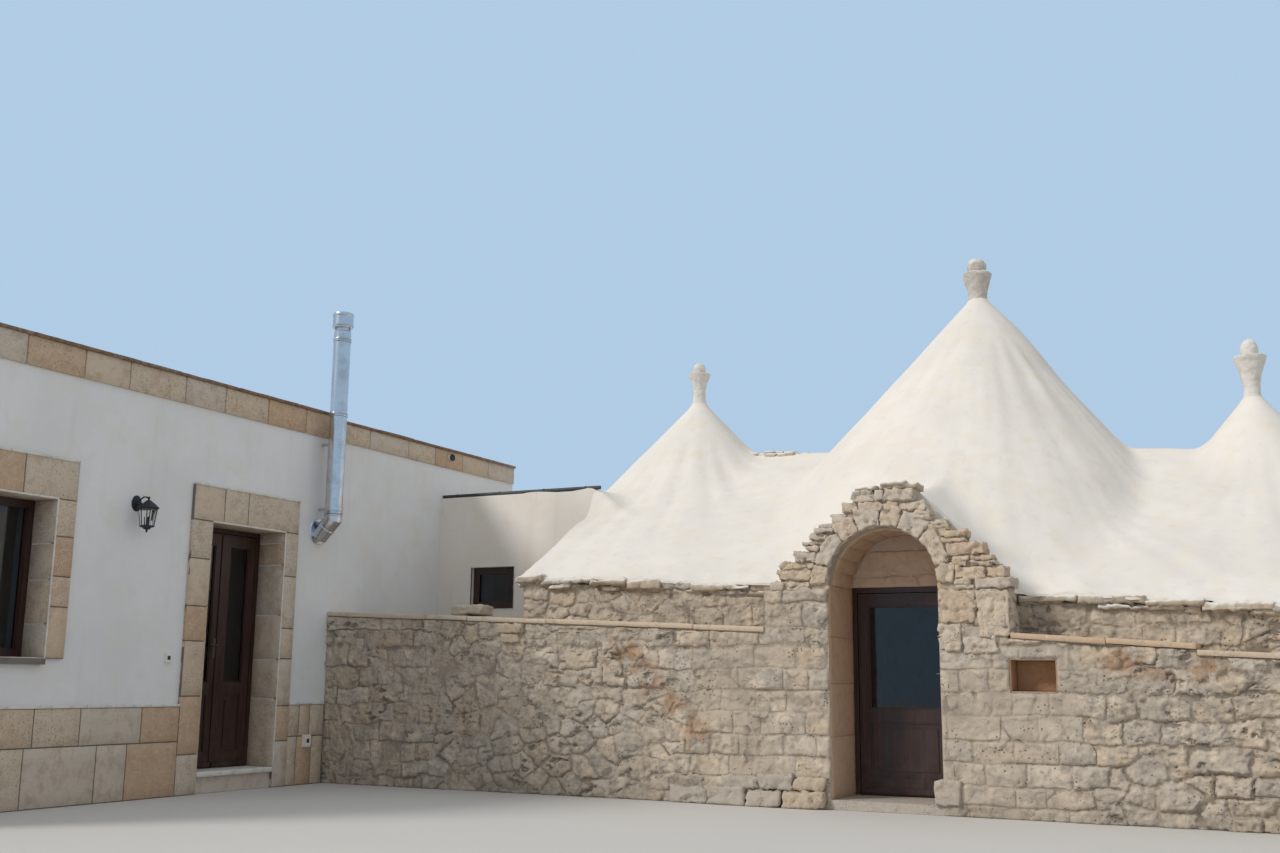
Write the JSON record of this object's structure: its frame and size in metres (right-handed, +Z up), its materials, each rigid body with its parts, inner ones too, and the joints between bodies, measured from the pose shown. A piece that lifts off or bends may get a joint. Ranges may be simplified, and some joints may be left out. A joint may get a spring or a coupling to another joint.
{
  "type": "trullo house",
  "caption": "Whitewashed stone house with conical vaulted roofs, an arched rubble portal, low coped walls and a flat-roofed wing, with hinged doors.",
  "frame": {"origin": "the main cone's vertical axis at ground level", "axes": "+X along the trullo's front to the right seen from outside, +Y into the building, +Z up"},
  "size_m": [15.325, 12.55, 5.815],
  "materials": {
    "lime_plaster": "uneven white limewash over plaster",
    "rubble": "rough pitted limestone rubble, beige and grey",
    "limestone_slab": "rough limestone slab",
    "sandy_block": "sawn sandy stone block, pitted",
    "dark_wood": "dark brown stained wood",
    "window_pane": "clear pane over a dark room",
    "door_metal": "brushed lever handles",
    "flue_steel": "bright stainless flue pipe",
    "black_metal": "black painted lantern",
    "lantern_pane": "frosted lantern pane",
    "dark_pipe": "dark service pipe",
    "white_plastic": "white wall boxes"
  },
  "bodies": {
    "house": {"block_roof": "lime_plaster", "block_shoulder": "lime_plaster", "block_walls": "lime_plaster", "door_frames": "dark_wood", "door_hinges": "door_metal", "door_surround": "sandy_block", "eave_slabs": "limestone_slab", "facade_wall_end": "lime_plaster", "facade_wall_middle": "lime_plaster", "facade_wall_right": "lime_plaster", "facade_wall_sill": "lime_plaster", "facade_wall_top": "lime_plaster", "finials": "lime_plaster", "flue": "flue_steel", "flue_brackets": "flue_steel", "lantern_glass": "lantern_pane", "left_back_wall": "rubble", "left_cone": "lime_plaster", "left_end_wall": "rubble", "left_front_wall": "rubble", "left_low_wall": "rubble", "low_wall_copings": "limestone_slab", "main_back_wall": "rubble", "main_cone": "lime_plaster", "main_front_wall_left": "rubble", "main_front_wall_right": "rubble", "passage_arches": "rubble", "portal_arch": "rubble", "portal_roof": "lime_plaster", "right_back_wall": "rubble", "right_cone": "lime_plaster", "right_end_wall": "rubble", "right_front_wall": "rubble", "right_low_wall": "rubble", "roof_pipe": "dark_pipe", "roof_saddles": "lime_plaster", "room_piers": "rubble", "terrace_fills": "rubble", "trullo_floor": "limestone_slab", "tympanum": "rubble", "wall_fittings": "white_plastic", "wall_lantern": "black_metal", "window_frames": "dark_wood", "window_glass": "window_pane", "window_surround": "sandy_block", "wing_back_wall": "lime_plaster", "wing_coping": "sandy_block", "wing_end_walls": "lime_plaster", "wing_floor": "limestone_slab", "wing_plinth": "sandy_block", "wing_roof": "lime_plaster"},
    "trullo_leaf": {"trullo_door": "dark_wood", "trullo_door_glass": "window_pane", "trullo_door_fittings": "door_metal"},
    "wing_left_leaf": {"wing_door_left": "dark_wood", "wing_door_glass_left": "window_pane", "wing_door_fittings_left": "door_metal"},
    "wing_right_leaf": {"wing_door_right": "dark_wood", "wing_door_glass_right": "window_pane", "wing_door_fittings_right": "door_metal"}
  },
  "joints": [
    {"name": "trullo_door_hinge", "type": "hinge", "parent": "house", "child": "trullo_leaf", "pos_m": [-0.542, -2.885, 0.97], "axis": [0, 0, 1], "range_deg": [0, 90]},
    {"name": "wing_left_leaf_hinge", "type": "hinge", "parent": "house", "child": "wing_left_leaf", "pos_m": [-6.445, -5.312, 1.35], "axis": [0, 0, 1], "range_deg": [0, 90]},
    {"name": "wing_right_leaf_hinge", "type": "hinge", "parent": "house", "child": "wing_right_leaf", "pos_m": [-6.445, -4.418, 1.35], "axis": [0, 0, 1], "range_deg": [-90, 0]}
  ]
}
